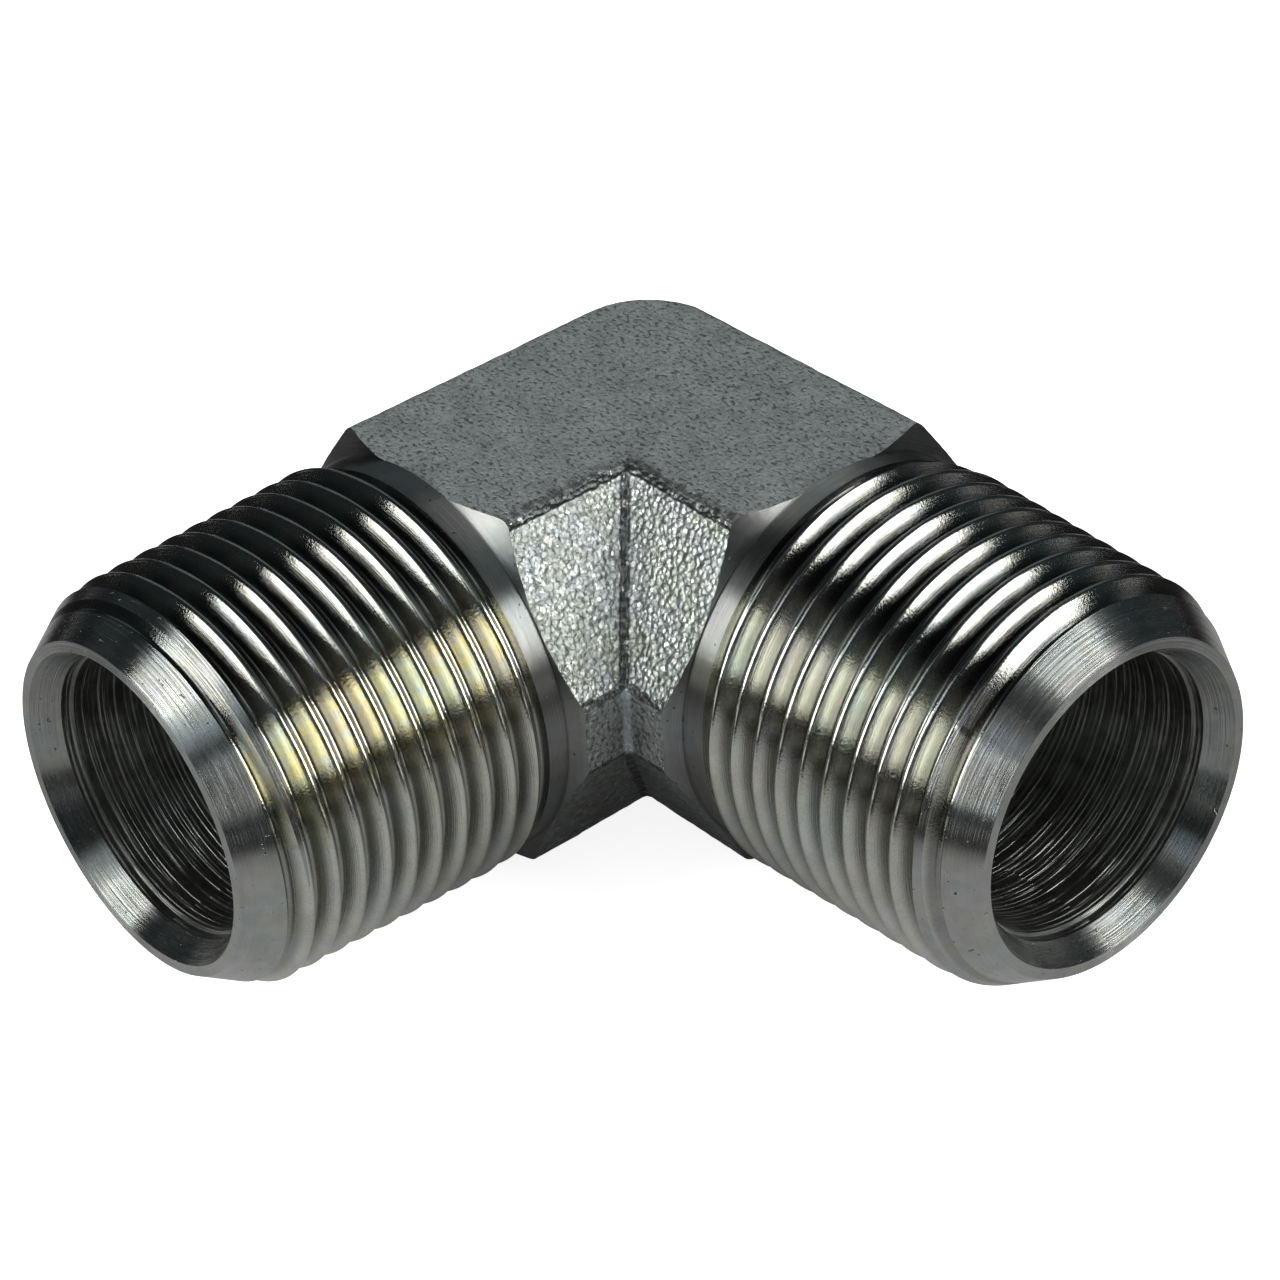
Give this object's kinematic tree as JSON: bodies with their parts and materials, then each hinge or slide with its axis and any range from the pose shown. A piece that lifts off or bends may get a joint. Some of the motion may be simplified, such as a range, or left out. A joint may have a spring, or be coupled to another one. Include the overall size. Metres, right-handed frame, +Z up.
{
  "type": "hydraulic elbow adapter",
  "caption": "Forged right-angle pipe adapter with tapered male threads, cone seats and drilled passages that meet in the corner.",
  "frame": {"origin": "on the bottom forged flat, straight below the point where the two port axes cross", "axes": "+Z up from the bottom flat to the top flat, port A leaves along +X, port B leaves along -Y"},
  "size_m": [0.0688, 0.0688, 0.0342],
  "materials": {
    "zinc_steel": "passivated zinc plating over a forged, shot-blasted body and turned pipe ends"
  },
  "bodies": {
    "root": {"elbow_body": "zinc_steel"}
  },
  "joints": []
}
